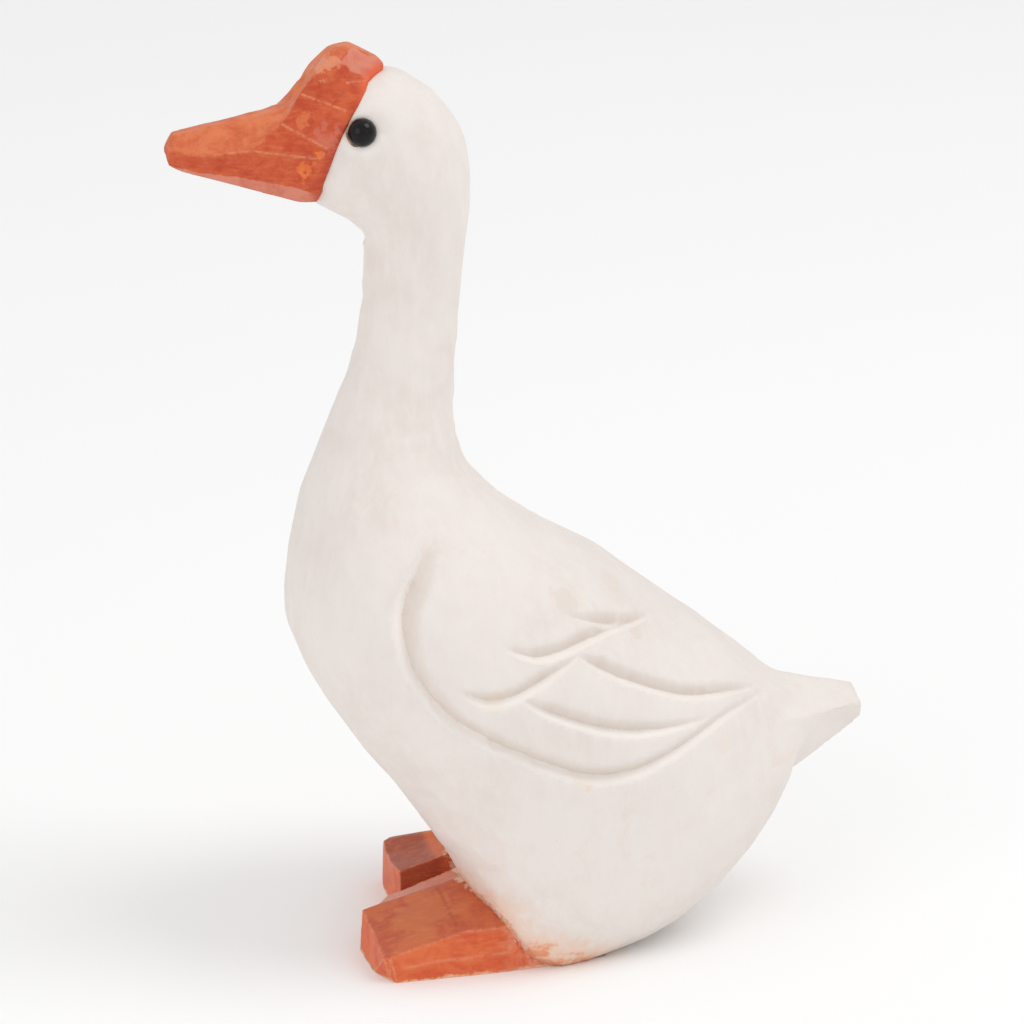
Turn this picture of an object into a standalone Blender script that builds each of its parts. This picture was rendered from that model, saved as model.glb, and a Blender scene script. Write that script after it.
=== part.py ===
"""A small goose carved from one block of wood and painted, with two black bead eyes.

Frame: X to the goose's left, -Y the way it faces, +Z up. The origin is on the
floor, under the middle of the goose. Sizes are in millimetres until a point is
made, which scales them by MM.
"""

from math import copysign, cos, exp, pi, sin

import bmesh
import bpy
from mathutils import Vector
from mathutils.bvhtree import BVHTree

MM = 0.001

# Head, neck and body, as cross-sections from the bill's root to the tail's root.
# Each is the breast or belly point (y, z), the crown or back point (y, z), the
# half width, the height of the widest line from -1 to 1, and the squareness.
SECTIONS = (
    ((-22.4, 84.2), (-17.4, 95.8), 5.4, 0.05, 2.4),
    ((-20.6, 82.4), (-13.7, 96.6), 6.2, 0.05, 2.4),
    ((-18.2, 81.0), (-10.6, 95.7), 6.8, 0.05, 2.35),
    ((-16.7, 79.9), (-7.4, 93.0), 7.0, 0.05, 2.25),
    ((-15.9, 78.2), (-5.1, 88.8), 6.9, 0.05, 2.2),
    ((-15.9, 75.6), (-4.6, 82.4), 6.4, 0.0, 2.15),
    ((-16.2, 71.0), (-5.3, 75.0), 6.0, 0.0, 2.15),
    ((-16.9, 66.8), (-6.0, 68.0), 6.0, 0.0, 2.15),
    ((-18.4, 62.0), (-6.2, 61.6), 6.5, 0.0, 2.15),
    ((-20.1, 57.6), (-5.9, 57.0), 7.8, 0.0, 2.15),
    ((-21.9, 52.8), (-4.2, 52.9), 10.0, 0.0, 2.15),
    ((-23.4, 47.6), (-0.9, 49.4), 12.6, -0.1, 2.15),
    ((-24.1, 42.4), (4.2, 45.6), 15.2, -0.15, 2.15),
    ((-24.4, 36.8), (9.6, 42.4), 17.0, -0.15, 2.15),
    ((-22.0, 30.4), (14.6, 38.6), 18.0, -0.15, 2.2),
    ((-18.0, 24.0), (19.0, 35.2), 18.3, -0.15, 2.25),
    ((-13.0, 17.2), (22.6, 32.5), 18.0, -0.2, 2.3),
    ((-8.1, 9.7), (25.4, 30.2), 17.5, -0.3, 2.35),
    ((-3.7, 2.3), (27.6, 28.5), 16.7, -0.35, 2.35),
    ((4.2, -2.3), (29.2, 27.2), 15.4, -0.35, 2.3),
    ((12.6, -1.2), (30.6, 26.4), 13.5, -0.25, 2.2),
    ((19.4, 2.8), (31.8, 26.0), 11.4, -0.15, 2.15),
    ((24.6, 8.0), (33.0, 25.6), 8.8, -0.1, 2.1),
    ((27.4, 13.8), (34.2, 25.2), 5.2, 0.0, 2.0),
)
SECTION_STEPS = 3
RING_POINTS = 40

# The bill and the knob on it, by corner: place forward or back (y), height (z)
# and half width (x).
BILL_CORNERS = {
    "tip_top": (-35.6, 90.8, 0.8),
    "tip_front": (-36.6, 89.3, 0.0),
    "tip_side": (-35.9, 89.2, 1.9),
    "tip_low": (-36.2, 87.6, 0.9),
    "ridge_middle": (-26.2, 92.6, 1.3),
    "ridge_dip": (-23.2, 93.6, 1.0),
    "ridge_rise": (-21.9, 94.9, 1.0),
    "knob_foot": (-21.3, 96.7, 1.2),
    "knob_front": (-19.1, 99.1, 1.2),
    "knob_top": (-17.0, 99.4, 1.3),
    "knob_back": (-14.2, 97.9, 1.3),
    "edge_top": (-13.5, 97.2, 0.9),
    "side_front": (-32.9, 88.9, 2.8),
    "side_middle": (-28.1, 89.6, 4.2),
    "side_back": (-21.3, 88.8, 5.9),
    "cheek_low": (-24.7, 92.1, 3.6),
    "cheek_back": (-20.5, 89.9, 6.0),
    "cheek_top": (-22.8, 94.9, 1.9),
    "brow_back": (-18.4, 93.6, 5.1),
    "knob_side": (-21.0, 97.0, 2.2),
    "knob_shoulder": (-18.5, 98.0, 2.6),
    "knob_flank": (-17.9, 96.1, 3.6),
    "edge_chip": (-15.5, 96.1, 3.0),
    "edge_step": (-15.9, 95.4, 4.1),
    "edge_brow": (-17.1, 94.0, 5.1),
    "edge_eye": (-18.6, 91.7, 5.8),
    "edge_mouth": (-20.2, 88.0, 5.8),
    "edge_jaw": (-21.0, 84.6, 4.5),
    "edge_chin": (-21.1, 83.6, 3.3),
    "edge_under": (-21.2, 82.7, 0.0),
    "jaw_front": (-33.4, 87.1, 2.2),
    "jaw_middle": (-29.2, 86.6, 3.3),
    "jaw_back": (-23.1, 85.5, 5.0),
    "under_front": (-34.6, 86.9, 1.3),
    "under_low": (-34.7, 86.8, 0.0),
    "under_back": (-23.2, 83.7, 3.4),
}
BILL_ROOT = (-15.5, 89.5)

# The narrow flat along the top of the bill, by corner.
BILL_TOP = (
    "tip_top", "ridge_middle", "ridge_dip", "ridge_rise", "knob_foot", "knob_front", "knob_top",
    "knob_back", "edge_top",
)

# The facets of one half of the bill, by corner.
BILL_FACETS = (
    "tip_top tip_front tip_side",
    "tip_front tip_low tip_side",
    "tip_top tip_side side_front",
    "tip_top side_front ridge_middle",
    "side_front side_middle ridge_middle",
    "side_middle cheek_low ridge_middle",
    "cheek_low ridge_dip ridge_middle",
    "cheek_low cheek_top ridge_dip",
    "cheek_top ridge_rise ridge_dip",
    "cheek_top knob_foot ridge_rise",
    "cheek_top knob_side knob_foot",
    "knob_side knob_front knob_foot",
    "knob_side knob_shoulder knob_front",
    "knob_shoulder knob_top knob_front",
    "tip_side jaw_front side_front",
    "side_front jaw_front jaw_middle side_middle",
    "side_middle jaw_middle jaw_back side_back",
    "side_middle side_back cheek_back",
    "side_middle cheek_back cheek_low",
    "cheek_low cheek_back brow_back",
    "cheek_low brow_back cheek_top",
    "cheek_top brow_back knob_flank",
    "cheek_top knob_flank knob_side",
    "knob_side knob_flank knob_shoulder",
    "knob_shoulder knob_back knob_top",
    "knob_shoulder edge_chip knob_back",
    "knob_shoulder knob_flank edge_chip",
    "knob_back edge_chip edge_top",
    "knob_flank brow_back edge_brow",
    "knob_flank edge_brow edge_step",
    "knob_flank edge_step edge_chip",
    "brow_back edge_eye edge_brow",
    "brow_back cheek_back edge_eye",
    "cheek_back side_back edge_mouth",
    "cheek_back edge_mouth edge_eye",
    "side_back jaw_back edge_mouth",
    "jaw_back edge_jaw edge_mouth",
    "tip_side tip_low jaw_front",
    "tip_low under_front jaw_front",
    "jaw_front under_front under_back",
    "jaw_front under_back jaw_middle",
    "jaw_middle under_back jaw_back",
    "jaw_back under_back edge_jaw",
    "edge_jaw under_back edge_chin",
    "edge_chin under_back edge_under",
    "tip_front under_low tip_low",
    "tip_low under_low under_front",
    "under_low under_back under_front",
    "under_low edge_under under_back",
    "edge_top edge_chip root",
    "edge_chip edge_step root",
    "edge_step edge_brow root",
    "edge_brow edge_eye root",
    "edge_eye edge_mouth root",
    "edge_mouth edge_jaw root",
    "edge_jaw edge_chin root",
    "edge_chin edge_under root",
)

# The tail's blunt wedge, by ring: ridge (y, z), side edge (x, z), lower corner
# (x, z) and how far behind the ridge the lower corner lies.
TAIL_RINGS = (
    ((21.0, 29.0), (11.4, 24.6), (7.0, 12.0), 0.0),
    ((31.0, 26.8), (7.4, 24.2), (4.4, 17.0), 0.3),
    ((38.2, 25.1), (3.3, 23.7), (2.0, 21.7), 0.7),
)

# Each foot block, by corner round its outline from the inner heel: where it stands
# on the floor (x, y), and the corner above (x, y, z). The first three corners
# hold a narrow strip along the slot, which ends at the strip's heel (x, y, z).
LEFT_FOOT = (
    ((0.6, 6.5), (0.6, 6.5, 12.0)),
    ((0.6, -14.0), (0.6, -14.0, 4.2)),
    ((2.9, -15.6), (2.9, -15.6, 4.2)),
    ((4.8, -17.9), (4.4, -17.5, 4.4)),
    ((10.4, -17.5), (9.4, -17.1, 3.75)),
    ((13.3, -16.0), (14.2, -16.8, 3.0)),
    ((14.4, -15.4), (14.5, -16.2, 3.15)),
    ((14.0, -4.5), (13.5, -7.9, 5.0)),
    ((13.2, 3.2), (13.2, -3.9, 4.9)),
    ((11.9, 8.2), (10.5, 4.0, 5.5)),
)
RIGHT_FOOT = (
    ((3.4, 6.5), (3.4, 6.5, 11.0)),
    ((3.4, -11.8), (3.4, -12.0, 5.2)),
    ((5.0, -12.2), (5.0, -12.2, 4.95)),
    ((7.0, -12.4), (7.0, -12.3, 4.7)),
    ((11.0, -12.5), (11.0, -12.3, 4.5)),
    ((13.2, -12.2), (13.0, -12.1, 4.8)),
    ((14.2, -11.3), (14.2, -11.3, 4.7)),
    ((14.2, -4.5), (14.1, -6.4, 5.0)),
    ((13.2, 3.0), (13.1, -2.5, 5.0)),
    ((11.0, 8.5), (10.5, 4.0, 5.5)),
)
LEFT_STRIP_HEEL = (2.9, 6.5, 10.5)
RIGHT_STRIP_HEEL = (5.0, 6.5, 10.6)
SOLE_DEPTH = 0.5

# The swellings where each leg's wood runs into the belly, on the thigh and behind
# the heel: the middle of each (x, y, z), how far round the middle it reaches, and
# how far the belly stands out there.
SWELLINGS = (
    ((12.5, 0.0, 4.0), 6.0, (1.1, -0.9, -1.2)),
    ((11.8, 3.0, 2.0), 3.5, (0.4, 0.0, -1.3)),
)

# Wing edges and feather cuts, as seen from the side (y, z). The steep wall of
# each cut is on its upper side and the long bevel on its lower side. The bevel's
# far end lies this share of the depth above the surface.
WING_EDGE = (
    (-9.8, 49.6), (-11.4, 48.3), (-13.2, 45.7), (-14.6, 43.0), (-14.9, 40.2), (-14.0, 35.9),
    (-11.7, 32.5), (-9.0, 29.9), (-3.7, 26.9), (0.1, 25.1), (3.8, 23.6), (6.8, 23.0),
    (10.4, 23.3), (14.6, 24.6), (19.8, 26.7), (24.5, 27.5), (27.4, 27.2),
)
FEATHER_CUTS = (
    ((2.3, 40.7), (5.4, 39.5), (8.1, 38.7), (10.6, 38.3)),
    ((-4.2, 38.2), (-0.9, 37.1), (2.2, 37.2), (6.3, 38.0), (9.9, 38.1), (13.4, 37.7)),
    ((3.7, 36.5), (7.8, 34.2), (12.6, 31.8), (16.6, 30.2), (21.0, 29.3), (25.4, 28.2)),
    ((-9.4, 34.2), (-6.5, 32.9), (-3.8, 33.0), (-1.2, 34.0), (1.5, 35.3), (4.2, 36.6)),
    ((-2.9, 33.0), (0.7, 31.0), (5.3, 29.0), (9.6, 27.8), (14.0, 27.4), (19.0, 27.4)),
)
CUT_STEPS = 3
WING_CUT_DEPTH = 1.1
WING_CUT_BEVEL = 3.4
FEATHER_CUT_DEPTH = 0.75
FEATHER_CUT_BEVEL = 2.6
CUT_WALL_LEAN = 1.0
BEVEL_END_RISE = 1.0

# Each cut runs out over this many steps at its first and last end, where it is
# down to this share of its width. The cutters stand clear of the surface above
# and leave this skin where a cut has run out.
WING_CUT_RUN_OUT = (8, 12)
FEATHER_CUT_RUN_OUT = (4, 5)
CUT_END_WIDTH = 0.25
CUT_CLEARANCE = 1.4
CUT_SKIN = 0.1

# Bead eyes, each glued in a drilled socket in a shallow scooped dish.
EYE_DIAMETER = 3.0
EYE_PLACE = (-16.85, 91.4)
EYE_STAND_OUT = 1.3
EYE_CLEARANCE = 0.3
DISH_RADIUS = 6.0
DISH_DEPTH = 0.35
BALL_SEGMENTS = 24

SURFACE_REACH = 60.0
MIRROR_LEFT = 1
MIRROR_RIGHT = -1


def point(x, y, z):
    return Vector((x, y, z)) * MM


def clear_scene():
    for old in list(bpy.data.objects):
        bpy.data.objects.remove(old, do_unlink=True)


def paint(name, colour, roughness):
    material = bpy.data.materials.new(name)
    material.use_nodes = True
    shader = material.node_tree.nodes["Principled BSDF"]
    shader.inputs["Base Color"].default_value = (*colour, 1.0)
    shader.inputs["Roughness"].default_value = roughness
    shader.inputs["Metallic"].default_value = 0.0
    material.diffuse_color = (*colour, 1.0)
    return material


def solid(name, points, faces, material=None):
    """One closed body from points and faces, its faces turned out."""
    mesh = bpy.data.meshes.new(name)
    mesh.from_pydata([tuple(p) for p in points], [], faces)
    shaper = bmesh.new()
    shaper.from_mesh(mesh)
    bmesh.ops.recalc_face_normals(shaper, faces=shaper.faces)
    shaper.to_mesh(mesh)
    shaper.free()
    if material:
        mesh.materials.append(material)
    body = bpy.data.objects.new(name, mesh)
    bpy.context.scene.collection.objects.link(body)
    return body


def loft(name, rings, material=None):
    """A solid through rings of equally many points, with flat ends."""
    count = len(rings[0])
    points = [p for ring_points in rings for p in ring_points]
    faces = [
        (i * count + k, i * count + (k + 1) % count,
         (i + 1) * count + (k + 1) % count, (i + 1) * count + k)
        for i in range(len(rings) - 1)
        for k in range(count)
    ]
    faces.append(tuple(range(count)))
    faces.append(tuple(range((len(rings) - 1) * count, len(rings) * count)))
    return solid(name, points, faces, material)


def curve_through(rows, steps):
    """Rows of numbers on a smooth curve through the given rows."""
    out = []
    last = len(rows) - 1
    for i in range(last):
        before, start, end, after = (rows[min(max(i + k, 0), last)] for k in (-1, 0, 1, 2))
        for j in range(steps):
            t = j / steps
            out.append([
                0.5 * (2 * b + (c - a) * t + (2 * a - 5 * b + 4 * c - d) * t**2
                       + (3 * b - a - 3 * c + d) * t**3)
                for a, b, c, d in zip(before, start, end, after)
            ])
    out.append(list(rows[last]))
    return out


def swollen(x, y, z):
    """A place on the body, moved out where it lies on a swelling."""
    side = copysign(1, x)
    out_x, out_y, out_z = side * x, y, z
    for middle, reach, swell in SWELLINGS:
        away = sum((a - b) ** 2 for a, b in zip((side * x, y, z), middle))
        share = exp(-away / reach**2)
        out_x += share * swell[0]
        out_y += share * swell[1]
        out_z += share * swell[2]
    return point(side * out_x, out_y, out_z)


def section_ring(low_y, low_z, high_y, high_z, half_width, widest, squareness):
    points = []
    for k in range(RING_POINTS):
        turn = 2 * pi * k / RING_POINTS
        up = copysign(abs(cos(turn)) ** (2 / squareness), cos(turn))
        side = copysign(abs(sin(turn)) ** (2 / squareness), sin(turn))
        reach = 1 - widest if up > 0 else 1 + widest
        share = (1 + widest + reach * up) / 2
        y = low_y + (high_y - low_y) * share
        z = low_z + (high_z - low_z) * share
        points.append(swollen(half_width * side, y, z))
    return points


def make_body(material):
    rows = [(*low, *high, *rest) for low, high, *rest in SECTIONS]
    rings = [section_ring(*row) for row in curve_through(rows, SECTION_STEPS)]
    body = loft("carved_goose", rings, material)
    body.data.shade_smooth()
    return body


def make_bill(material):
    corners = dict(BILL_CORNERS, root=(*BILL_ROOT, 0.0))
    points, place = [], {}
    for name, (y, z, x) in corners.items():
        for side in (MIRROR_LEFT, MIRROR_RIGHT):
            if side == MIRROR_RIGHT and x == 0:
                place[name, side] = place[name, MIRROR_LEFT]
                continue
            place[name, side] = len(points)
            points.append(point(side * x, y, z))
    faces = [
        tuple(place[name, side] for name in facet.split()[::side])
        for facet in BILL_FACETS
        for side in (MIRROR_LEFT, MIRROR_RIGHT)
    ]
    top = [(place[name, MIRROR_LEFT], place[name, MIRROR_RIGHT]) for name in BILL_TOP]
    faces += [(a, b, d, c) for (a, b), (c, d) in zip(top, top[1:])]
    faces += [(*top[0], place["tip_front", MIRROR_LEFT]), (*top[-1], place["root", MIRROR_LEFT])]
    return solid("bill_block", points, faces, material)


def make_tail(material):
    rings = []
    for (y, ridge_z), (edge_x, edge_z), (under_x, under_z), lag in TAIL_RINGS:
        half = [(edge_x, y + lag / 2, edge_z), (under_x, y + lag, under_z)]
        mirrored = [(-x, cy, z) for x, cy, z in reversed(half)]
        rings.append([point(*p) for p in [(0, y, ridge_z), *half, *mirrored]])
    return loft("tail_wedge", rings, material)


def make_foot(name, side, corners, strip_heel, material):
    """A foot block: a sloping top with a narrow strip along the slot, and blunt toes."""
    low = [point(side * x, y, -SOLE_DEPTH) for (x, y), _ in corners]
    high = [point(side * x, y, z) for _, (x, y, z) in corners]
    x, y, z = strip_heel
    points = [*low, *high, point(side * x, y, z)]
    n = len(corners)
    crease_end = 2 * n
    walls = [(k, k + 1, n + k + 1) for k in range(n - 1)]
    walls += [(k, n + k + 1, n + k) for k in range(n - 1)]
    tops = [(n + k, n + k + 1, crease_end) for k in range(n - 1)]
    heel = (n - 1, 0, n, crease_end, 2 * n - 1)
    return solid(name, points, [tuple(range(n)), *walls, *tops, heel], material)


def find_surface(body):
    shaper = bmesh.new()
    shaper.from_mesh(body.data)
    tree = BVHTree.FromBMesh(shaper)
    shaper.free()
    return tree


def on_left_flank(tree, y, z):
    """The surface point and outward normal that the left side shows at (y, z)."""
    place, normal, _, _ = tree.ray_cast(point(SURFACE_REACH, y, z), Vector((-1, 0, 0)))
    return place, normal


def cut_ring(place, along, out, depth, bevel):
    """The cutter's section: a steep wall above and a long bevel below its foot."""
    below = along.cross(out).normalized()
    lift = out * CUT_CLEARANCE * MM
    skin = out * CUT_SKIN * MM
    lean = below * CUT_WALL_LEAN * MM
    bevel_end = place + below * bevel
    return [
        place - out * depth,
        bevel_end + out * max(depth, 0) * BEVEL_END_RISE + skin,
        bevel_end + lift,
        place - lean + lift,
        place - lean + skin,
    ]


def make_cut(name, tree, route, depth, bevel, run_out):
    """A cut on both flanks that runs out over some of its steps at each end."""
    spots = [on_left_flank(tree, y, z) for y, z in curve_through(route, CUT_STEPS)]
    last = len(spots) - 1
    rings = []
    for i, (place, out) in enumerate(spots):
        along = (spots[min(i + 1, last)][0] - spots[max(i - 1, 0)][0]).normalized()
        share = min(1.0, i / run_out[0], (last - i) / run_out[1])
        deep = (depth * share - CUT_SKIN * (1 - share)) * MM
        wide = bevel * MM * (CUT_END_WIDTH + (1 - CUT_END_WIDTH) * share)
        rings.append(cut_ring(place, along, out, deep, wide))
    left = loft(name + "_left", rings)
    right = loft(name + "_right", [[Vector((-p.x, p.y, p.z)) for p in r] for r in rings])
    return [left, right]


def ball(name, centre, radius, material=None):
    shaper = bmesh.new()
    bmesh.ops.create_uvsphere(shaper, u_segments=BALL_SEGMENTS, v_segments=BALL_SEGMENTS // 2,
                              radius=radius)
    mesh = bpy.data.meshes.new(name)
    shaper.to_mesh(mesh)
    shaper.free()
    if material:
        mesh.materials.append(material)
    mesh.shade_smooth()
    body = bpy.data.objects.new(name, mesh)
    body.location = centre
    bpy.context.scene.collection.objects.link(body)
    return body


def boolean(body, tool, operation):
    change = body.modifiers.new(tool.name, "BOOLEAN")
    change.operation = operation
    change.solver = "EXACT"
    change.object = tool
    tool.hide_render = True
    tool.display_type = "WIRE"


def make_eyes(tree, goose, material):
    place, out = on_left_flank(tree, *EYE_PLACE)
    radius = EYE_DIAMETER / 2 * MM
    centre = place + out * (EYE_STAND_OUT * MM - radius)
    dish_centre = place + out * (DISH_RADIUS - DISH_DEPTH) * MM
    for side, name in ((MIRROR_LEFT, "left_eye"), (MIRROR_RIGHT, "right_eye")):
        flip = Vector((side, 1, 1))
        dish = ball(name + "_dish", dish_centre * flip, DISH_RADIUS * MM)
        socket = ball(name + "_socket", centre * flip, radius + EYE_CLEARANCE * MM)
        boolean(goose, dish, "DIFFERENCE")
        boolean(goose, socket, "DIFFERENCE")
        ball(name, centre * flip, radius, material)


def stand_on_origin(goose):
    """Moves everything so that the goose's box stands centred on the origin."""
    bpy.context.view_layer.update()
    shape = goose.evaluated_get(bpy.context.evaluated_depsgraph_get()).data
    reach = [v.co.y for v in shape.vertices]
    middle = (min(reach) + max(reach)) / 2
    for body in bpy.data.objects:
        body.location.y -= middle


def make_goose():
    clear_scene()
    white = paint("white_paint", (0.80, 0.75, 0.70), 0.55)
    orange = paint("orange_paint", (0.60, 0.11, 0.045), 0.4)
    black = paint("black_glass", (0.012, 0.010, 0.009), 0.08)

    goose = make_body(white)
    tree = find_surface(goose)
    goose.data.materials.append(orange)
    boolean(goose, make_tail(white), "UNION")
    make_eyes(tree, goose, black)
    boolean(goose, make_bill(orange), "UNION")
    feet = (
        make_foot("left_foot_block", MIRROR_LEFT, LEFT_FOOT, LEFT_STRIP_HEEL, orange),
        make_foot("right_foot_block", MIRROR_RIGHT, RIGHT_FOOT, RIGHT_STRIP_HEEL, orange),
    )
    for foot in feet:
        boolean(goose, foot, "UNION")

    cuts = make_cut("wing_edge_cut", tree, WING_EDGE, WING_CUT_DEPTH, WING_CUT_BEVEL,
                    WING_CUT_RUN_OUT)
    for i, route in enumerate(FEATHER_CUTS):
        cuts += make_cut(f"feather_cut_{i + 1}", tree, route, FEATHER_CUT_DEPTH,
                         FEATHER_CUT_BEVEL, FEATHER_CUT_RUN_OUT)
    for cut in cuts:
        boolean(goose, cut, "DIFFERENCE")

    corners = ((-1, -1), (1, -1), (1, 1), (-1, 1))
    floor = loft("floor_cut", [
        [point(x * SURFACE_REACH, y * SURFACE_REACH, z) for x, y in corners]
        for z in (-SURFACE_REACH, 0)
    ])
    boolean(goose, floor, "DIFFERENCE")
    stand_on_origin(goose)


make_goose()
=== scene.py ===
# %% [markdown]
# # A small carved and painted goose
#
# This goose is whittled from one block of wood. The carver leaves flat knife
# strokes all over it, cuts the wings and feathers as grooves, brushes on an
# off-white paint, and gives the bill and the feet a satin orange. Two black
# beads are the eyes.
#
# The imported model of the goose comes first, because it sets the size and the
# place of everything. The lesson then draws the same goose with a finer skin, so
# that the knife and the brush can leave their marks on it.

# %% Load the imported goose
from math import cos, pi, radians, sin

import bmesh
import bpy
import numpy as np
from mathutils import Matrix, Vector
from mathutils.bvhtree import BVHTree


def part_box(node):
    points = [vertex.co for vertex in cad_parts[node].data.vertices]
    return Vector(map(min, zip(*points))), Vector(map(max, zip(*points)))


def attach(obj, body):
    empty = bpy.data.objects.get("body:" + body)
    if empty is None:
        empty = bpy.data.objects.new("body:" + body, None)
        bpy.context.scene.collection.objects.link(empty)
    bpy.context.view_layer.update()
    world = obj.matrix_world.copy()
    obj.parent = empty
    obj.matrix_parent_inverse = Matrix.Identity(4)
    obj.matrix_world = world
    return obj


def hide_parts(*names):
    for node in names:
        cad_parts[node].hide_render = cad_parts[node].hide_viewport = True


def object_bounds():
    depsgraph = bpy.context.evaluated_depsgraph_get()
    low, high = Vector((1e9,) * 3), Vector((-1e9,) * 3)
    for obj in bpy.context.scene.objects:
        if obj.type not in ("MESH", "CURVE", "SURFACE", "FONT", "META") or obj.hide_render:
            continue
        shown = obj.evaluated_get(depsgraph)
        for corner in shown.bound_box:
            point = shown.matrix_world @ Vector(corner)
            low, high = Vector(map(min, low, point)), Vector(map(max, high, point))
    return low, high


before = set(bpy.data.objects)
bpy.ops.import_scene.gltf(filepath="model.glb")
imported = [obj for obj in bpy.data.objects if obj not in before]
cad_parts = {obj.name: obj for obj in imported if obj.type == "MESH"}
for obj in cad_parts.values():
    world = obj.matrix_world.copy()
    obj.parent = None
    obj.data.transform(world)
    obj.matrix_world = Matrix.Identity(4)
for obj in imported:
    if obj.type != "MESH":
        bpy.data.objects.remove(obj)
packed_low, packed_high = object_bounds()
print("packed goose, mm:", [round((b - a) * 1000, 1) for a, b in zip(packed_low, packed_high)])

# %% [markdown]
# ## One drawing for all the wood
#
# Every point below is in millimetres: x to the goose's left, y backwards and z
# up. The drawing was made before the goose was centred on the floor, so the
# tip of its bill says how far it has moved since.

# %% Turn the drawing's millimetres into the model's metres
MM = 0.001
BILL_TIP_Y = -36.6
SHIFT_Y = packed_low.y - BILL_TIP_Y * MM


def place(points):
    """Points of the drawing, in the model's metres."""
    return np.asarray(points, dtype=float) * MM + (0.0, SHIFT_Y, 0.0)


print("moved back by", round(SHIFT_Y / MM, 2), "mm")

# %% [markdown]
# ## The camera
#
# The photograph looks at the goose's left side from a little in front and
# above. The camera stands half a metre away, which is far for something this
# small, so parallel edges stay almost parallel. A long lens fills the picture.

# %% Place the camera
VIEW_TURN = radians(11.5)
VIEW_RISE = radians(19.0)
VIEW_DISTANCE = 0.5
VIEW_HEIGHT = 0.0473
LENS = 164.4
SENSOR_WIDTH = 36
NEAREST_SEEN = 0.01


def add(name, data):
    """A new object in the scene that shows a mesh, a lamp or a camera."""
    thing = bpy.data.objects.new(name, data)
    bpy.context.scene.collection.objects.link(thing)
    return thing


towards_camera = Vector((
    cos(VIEW_TURN) * cos(VIEW_RISE), -sin(VIEW_TURN) * cos(VIEW_RISE), sin(VIEW_RISE),
))
lens = bpy.data.cameras.new("photo_view")
lens.lens = LENS
lens.sensor_width = SENSOR_WIDTH
lens.clip_start = NEAREST_SEEN
camera = add("photo_view", lens)
camera.location = Vector((0, SHIFT_Y, VIEW_HEIGHT)) + towards_camera * VIEW_DISTANCE
camera.rotation_euler = (-towards_camera).to_track_quat("-Z", "Y").to_euler()
bpy.context.scene.camera = camera
print("camera at", [round(v, 3) for v in camera.location])

# %% [markdown]
# ## From a rough block to a fine skin
#
# A carver first saws the block and then rounds it. In Blender the rough forms
# are a few simple closed meshes that push through each other. A voxel remesh
# then melts them into one skin of small even squares. That skin is fine enough
# to take knife strokes as real shape, and its corners come out slightly worn,
# as painted wood has them.

# %% Helpers that make a mesh and melt it into one skin
def make_object(name, points, faces):
    mesh = bpy.data.meshes.new(name)
    mesh.from_pydata([tuple(p) for p in points], [], faces)
    shaper = bmesh.new()
    shaper.from_mesh(mesh)
    bmesh.ops.recalc_face_normals(shaper, faces=shaper.faces)
    shaper.to_mesh(mesh)
    shaper.free()
    return add(name, mesh)


def loft_faces(ring_count, ring_size):
    """Faces of a tube through rings of points, closed at both ends."""
    faces = []
    for i in range(ring_count - 1):
        for k in range(ring_size):
            a, b = i * ring_size + k, i * ring_size + (k + 1) % ring_size
            faces.append((a, b, b + ring_size, a + ring_size))
    end = (ring_count - 1) * ring_size
    return [*faces, tuple(range(ring_size)), tuple(range(end, end + ring_size))]


def melt(name, shapes, square, soften):
    """One skin over overlapping shapes, in squares of the given size."""
    with bpy.context.temp_override(active_object=shapes[0], selected_editable_objects=shapes):
        if len(shapes) > 1:
            bpy.ops.object.join()
    rough = shapes[0]
    remesh = rough.modifiers.new("skin", "REMESH")
    remesh.mode = "VOXEL"
    remesh.voxel_size = square * MM
    smooth = rough.modifiers.new("worn", "SMOOTH")
    smooth.factor = 0.5
    smooth.iterations = soften
    shaped = rough.evaluated_get(bpy.context.evaluated_depsgraph_get())
    made = bpy.data.meshes.new_from_object(shaped)
    made.name = name
    bpy.data.objects.remove(rough, do_unlink=True)
    made.shade_smooth()
    print(name, "has", len(made.polygons), "squares")
    return add(name, made)


def tree_over(skin):
    """A skin's faces, sorted so that the nearest one is found fast."""
    shaper = bmesh.new()
    shaper.from_mesh(skin.data)
    tree = BVHTree.FromBMesh(shaper)
    shaper.free()
    return tree


def read_points(body):
    """The places and the outward directions of a skin's points."""
    count = len(body.data.vertices)
    points, normals = np.empty(count * 3), np.empty(count * 3)
    body.data.vertices.foreach_get("co", points)
    body.data.vertex_normals.foreach_get("vector", normals)
    return points.reshape(-1, 3), normals.reshape(-1, 3)


def write_points(body, points):
    body.data.vertices.foreach_set("co", points.ravel())
    body.data.update()


def mark(body, name, values):
    """Keeps a number at every point, for a paint to read later."""
    layer = body.data.attributes.new(name, "FLOAT", "POINT")
    layer.data.foreach_set("value", np.asarray(values, dtype=np.float32))


def blend(skin, values, rounds):
    """Values at a skin's points, averaged with their neighbours a few times."""
    ends = np.empty(len(skin.data.edges) * 2, dtype=int)
    skin.data.edges.foreach_get("vertices", ends)
    start, end = ends.reshape(-1, 2).T
    count = len(values)
    meeting = np.bincount(start, minlength=count) + np.bincount(end, minlength=count)
    for _ in range(rounds):
        around = np.bincount(start, values[end], count) + np.bincount(end, values[start], count)
        values = (values + around / meeting) / 2
    return values


# %% [markdown]
# ## Head, neck and body
#
# The bird's body is drawn as a row of cross-sections, like slices through a
# loaf. Each row gives the breast or belly point, the crown or back point, the
# half width, the height of the widest line, and how square the slice is. A
# smooth curve through the rows gives the slices in between. On each side the
# slices swell a little where the leg's wood runs into the belly.

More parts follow.
